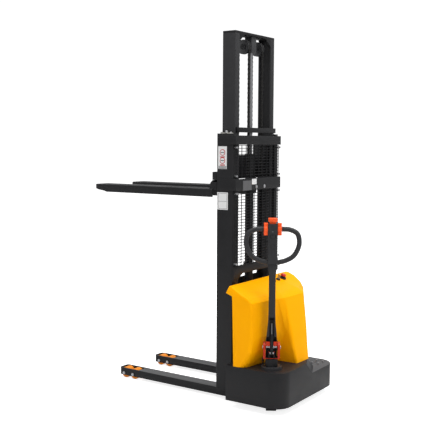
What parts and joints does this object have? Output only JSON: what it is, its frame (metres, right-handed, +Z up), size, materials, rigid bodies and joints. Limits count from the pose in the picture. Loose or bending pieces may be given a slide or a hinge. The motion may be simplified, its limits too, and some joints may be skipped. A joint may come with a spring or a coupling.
{
  "type": "walkie stacker",
  "caption": "Electric pedestrian stacker: low rounded chassis with moulded hood and tiller, two-stage lifting mast with mesh guard, raised fork carriage and straddle legs on small rollers.",
  "frame": {"origin": "bottom centre of the object's bounding box at rest, on the floor", "axes": "+X to the truck right, +Y forwards along the forks, +Z up the mast"},
  "size_m": [0.8, 1.7338, 2.557],
  "materials": {
    "black_paint": "satin black powder coat",
    "dark_grey_paint": "satin dark grey coat",
    "hood_yellow": "glossy yellow-orange moulding",
    "amber_polyurethane": "translucent-looking amber polyurethane",
    "bright_steel": "zinc plated",
    "chrome_rod": "hard chrome",
    "roller_steel": "ground steel",
    "chain_steel": "oiled",
    "wire_black": "black coated wire",
    "red_orange": "red-orange moulding",
    "red_orange_paint": "red-orange coat",
    "nylon": "off-white nylon",
    "black_plastic": "fine textured",
    "grip_rubber": "matt",
    "cable_rubber": "matt",
    "stop_red": "gloss red",
    "battery_case": "polypropylene",
    "pump_body": "cast",
    "caster_tread": "black polyurethane"
  },
  "bodies": {
    "truck": {"chassis_body": "black_paint", "leg_frame": "black_paint", "load_wheel_axles": "bright_steel", "outer_rails": "black_paint", "mast_crossmembers": "black_paint", "mast_wear_pads": "nylon", "mesh_guard": "wire_black", "guard_clips": "bright_steel", "lift_cylinder_tube": "black_paint", "chain_anchors": "dark_grey_paint", "rear_chain_runs": "chain_steel", "hood": "hood_yellow", "traction_batteries": "battery_case", "hydraulic_power_unit": "pump_body", "motor_controller": "pump_body", "hydraulic_hose": "cable_rubber", "battery_gauge": "black_plastic", "key_switch": "black_plastic", "emergency_stop_base": "black_plastic", "slewing_ring": "dark_grey_paint", "tiller_cable": "cable_rubber", "caster_plate": "dark_grey_paint", "caster_bolts": "bright_steel"},
    "inner_mast": {"inner_rails": "black_paint", "inner_crossbars": "black_paint", "piston_rod": "chrome_rod", "rod_head": "dark_grey_paint", "chain_wraps": "chain_steel", "front_chain_runs": "chain_steel"},
    "chain_wheel_set": {"chain_wheels": "roller_steel"},
    "inner_roller_set": {"inner_rollers": "roller_steel"},
    "carriage": {"carriage_frame": "black_paint", "fork_left": "black_paint", "fork_right": "black_paint"},
    "carriage_low_rollers": {"carriage_rollers_low": "roller_steel"},
    "carriage_high_rollers": {"carriage_rollers_high": "roller_steel"},
    "drive_unit": {"tiller_base": "black_paint", "tiller_bracket": "red_orange_paint", "tilt_pin": "bright_steel", "drive_motor": "dark_grey_paint", "drive_yoke": "dark_grey_paint"},
    "drive_wheel": {"drive_wheel_hub": "pump_body", "drive_wheel_tyre": "caster_tread"},
    "tiller": {"tiller_arm": "black_paint", "tiller_head": "black_plastic", "handle_ring": "grip_rubber"},
    "throttle": {"throttle_knobs": "red_orange"},
    "reverse_button": {"belly_button": "red_orange"},
    "horn": {"horn_button": "black_plastic"},
    "rocker": {"lift_rocker": "black_plastic"},
    "spring_tube": {"gas_spring_tube": "black_paint"},
    "spring_rod": {"gas_spring_rod": "chrome_rod"},
    "caster_swivel": {"caster_fork": "bright_steel"},
    "caster_roller": {"caster_wheel": "caster_tread"},
    "key": {"ignition_key": "bright_steel"},
    "stop_button": {"emergency_stop_button": "stop_red"},
    "load_wheel_lr": {"load_wheel_left_rear": "amber_polyurethane"},
    "load_wheel_lf": {"load_wheel_left_front": "amber_polyurethane"},
    "load_wheel_rr": {"load_wheel_right_rear": "amber_polyurethane"},
    "load_wheel_rf": {"load_wheel_right_front": "amber_polyurethane"}
  },
  "joints": [
    {"name": "mast_lift", "type": "slide", "parent": "truck", "child": "inner_mast", "axis": [0, 0, 1], "range_m": [-0.6965, 0.509], "deforming": ["rear_chain_runs"]},
    {"name": "carriage_lift", "type": "slide", "parent": "inner_mast", "child": "carriage", "axis": [0, 0, 1], "range_m": [-0.6965, 0.509], "deforming": ["front_chain_runs"]},
    {"name": "chain_wheel_spin", "type": "hinge", "parent": "inner_mast", "child": "chain_wheel_set", "pos_m": [0, -0.34537, 2.463], "axis": [1, 0, 0], "range_deg": [-930, 680]},
    {"name": "inner_roller_spin", "type": "hinge", "parent": "inner_mast", "child": "inner_roller_set", "pos_m": [0, -0.33587, 0.853], "axis": [1, 0, 0], "range_deg": [-762, 557]},
    {"name": "carriage_low_roller_spin", "type": "hinge", "parent": "carriage", "child": "carriage_low_rollers", "pos_m": [0, -0.33587, 1.601], "axis": [1, 0, 0], "range_deg": [-975, 713]},
    {"name": "carriage_high_roller_spin", "type": "hinge", "parent": "carriage", "child": "carriage_high_rollers", "pos_m": [0, -0.33587, 1.719], "axis": [1, 0, 0], "range_deg": [-713, 975]},
    {"name": "steer", "type": "hinge", "parent": "truck", "child": "drive_unit", "pos_m": [-0.275, -0.70087, 0.293], "axis": [0, 0, -1], "range_deg": [-148, 32]},
    {"name": "tiller_tilt", "type": "hinge", "parent": "drive_unit", "child": "tiller", "pos_m": [-0.275, -0.70087, 0.434], "axis": [0.5299, -0.848, 0], "range_deg": [0, 80], "stiffness_Nm_per_rad": 30, "springref_deg": -28.65},
    {"name": "drive_wheel_spin", "type": "hinge", "parent": "drive_unit", "child": "drive_wheel", "pos_m": [-0.275, -0.70087, 0.105], "axis": [0.5299, -0.848, 0], "continuous": true},
    {"name": "throttle_twist", "type": "hinge", "parent": "tiller", "child": "throttle", "pos_m": [-0.275, -0.70087, 1.232], "axis": [0.5299, -0.848, 0], "range_deg": [-30, 30], "stiffness_Nm_per_rad": 0.6},
    {"name": "reverse_button_press", "type": "slide", "parent": "tiller", "child": "reverse_button", "axis": [0, 0, -1], "range_m": [0, 0.01], "stiffness_N_per_m": 600, "springref_m": -0.004},
    {"name": "horn_press", "type": "slide", "parent": "tiller", "child": "horn", "axis": [0.848, 0.5299, 0], "range_m": [0, 0.003], "stiffness_N_per_m": 500, "springref_m": -0.002},
    {"name": "lift_rocker_tilt", "type": "hinge", "parent": "tiller", "child": "rocker", "pos_m": [-0.29366, -0.71253, 1.184], "axis": [0, 0, 1], "range_deg": [-7, 7], "stiffness_Nm_per_rad": 0.2},
    {"name": "gas_spring_swing", "type": "hinge", "parent": "drive_unit", "child": "spring_tube", "pos_m": [-0.30044, -0.71677, 0.399], "axis": [0.5299, -0.848, 0], "range_deg": [0, 80]},
    {"name": "gas_spring_stroke", "type": "slide", "parent": "spring_tube", "child": "spring_rod", "axis": [0.1172, 0.0732, 0.9904], "range_m": [-0.06, 0.002]},
    {"name": "caster_swivel_turn", "type": "hinge", "parent": "truck", "child": "caster_swivel", "pos_m": [0.288, -0.72837, 0.197], "axis": [0, 0, 1], "continuous": true},
    {"name": "caster_wheel_spin", "type": "hinge", "parent": "caster_swivel", "child": "caster_roller", "pos_m": [0.288, -0.69437, 0.0625], "axis": [1, 0, 0], "continuous": true},
    {"name": "key_turn", "type": "hinge", "parent": "truck", "child": "key", "pos_m": [0.122, -0.52016, 0.82204], "axis": [0, 0.3162, -0.9487], "range_deg": [0, 90]},
    {"name": "stop_press", "type": "slide", "parent": "truck", "child": "stop_button", "axis": [0, 0.3162, -0.9487], "range_m": [0, 0.005]},
    {"name": "load_wheel_left_rear_spin", "type": "hinge", "parent": "truck", "child": "load_wheel_lr", "pos_m": [-0.2165, 0.51763, 0.04], "axis": [1, 0, 0], "continuous": true},
    {"name": "load_wheel_left_front_spin", "type": "hinge", "parent": "truck", "child": "load_wheel_lf", "pos_m": [-0.2165, 0.60363, 0.04], "axis": [1, 0, 0], "continuous": true},
    {"name": "load_wheel_right_rear_spin", "type": "hinge", "parent": "truck", "child": "load_wheel_rr", "pos_m": [0.2165, 0.51763, 0.04], "axis": [1, 0, 0], "continuous": true},
    {"name": "load_wheel_right_front_spin", "type": "hinge", "parent": "truck", "child": "load_wheel_rf", "pos_m": [0.2165, 0.60363, 0.04], "axis": [1, 0, 0], "continuous": true}
  ],
  "couplings": [
    {"joint": "carriage_lift", "follows": "mast_lift", "ratio": 1},
    {"joint": "chain_wheel_spin", "follows": "mast_lift", "rad_per_m": 23.256},
    {"joint": "inner_roller_spin", "follows": "mast_lift", "rad_per_m": 19.048},
    {"joint": "carriage_low_roller_spin", "follows": "mast_lift", "rad_per_m": 24.39},
    {"joint": "carriage_high_roller_spin", "follows": "mast_lift", "rad_per_m": -24.39},
    {"joint": "gas_spring_swing", "follows": "tiller_tilt", "ratio": 0.88928},
    {"joint": "gas_spring_stroke", "follows": "tiller_tilt", "m_per_rad": -0.037575}
  ]
}
